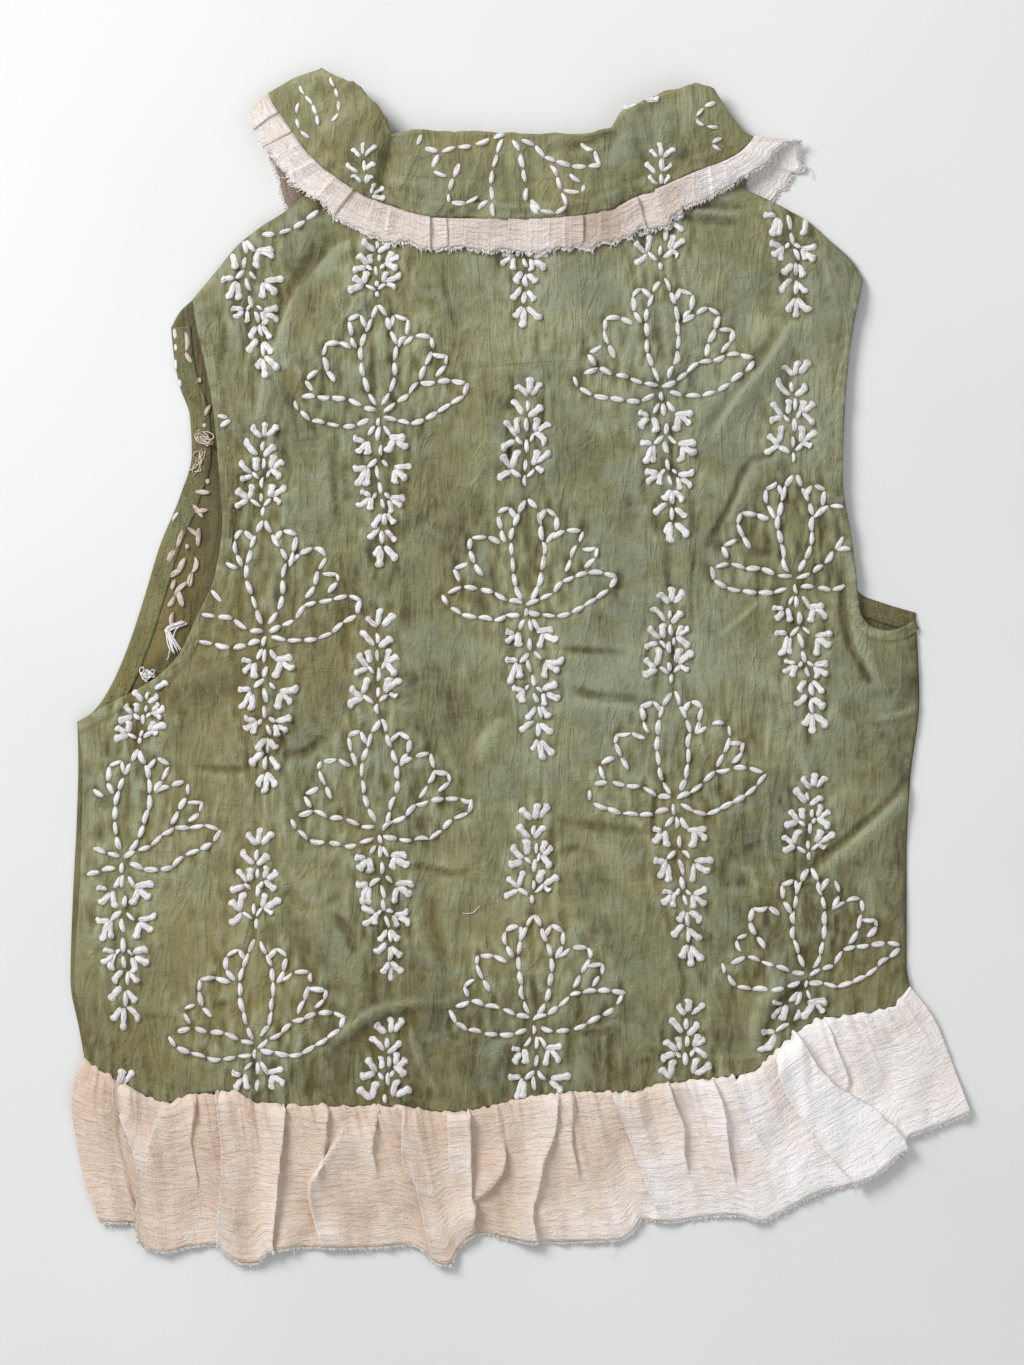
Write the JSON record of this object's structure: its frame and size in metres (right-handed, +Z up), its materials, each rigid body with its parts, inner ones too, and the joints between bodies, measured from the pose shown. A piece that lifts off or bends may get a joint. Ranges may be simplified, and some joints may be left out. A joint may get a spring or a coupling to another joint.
{
  "type": "embroidered waistcoat",
  "caption": "Sleeveless green cotton waistcoat laid flat with its back uppermost: white floral embroidery, a wide rolled collar and gathered muslin frills at collar and hem.",
  "frame": {"origin": "centre of the bounding box in plan, on the surface that the garment lies on", "axes": "+Z up out of the surface, +Y from the hem towards the neck, +X to the right as the back is seen"},
  "size_m": [0.4948, 0.6576, 0.0154],
  "materials": {
    "green_cotton": "matt overdyed fine cotton",
    "green_inside": "matt cotton, inner side",
    "cream_muslin": "matt crinkled muslin"
  },
  "bodies": {
    "root": {"back": "green_cotton", "front_left": "green_cotton", "front_right": "green_cotton", "collar": "green_cotton", "neck_patch": "green_cotton", "armhole_facing_left": "green_inside", "armhole_facing_right": "green_inside", "collar_frill": "cream_muslin", "hem_frill_back": "cream_muslin", "hem_frill_left": "cream_muslin", "hem_frill_right": "cream_muslin"}
  },
  "joints": []
}
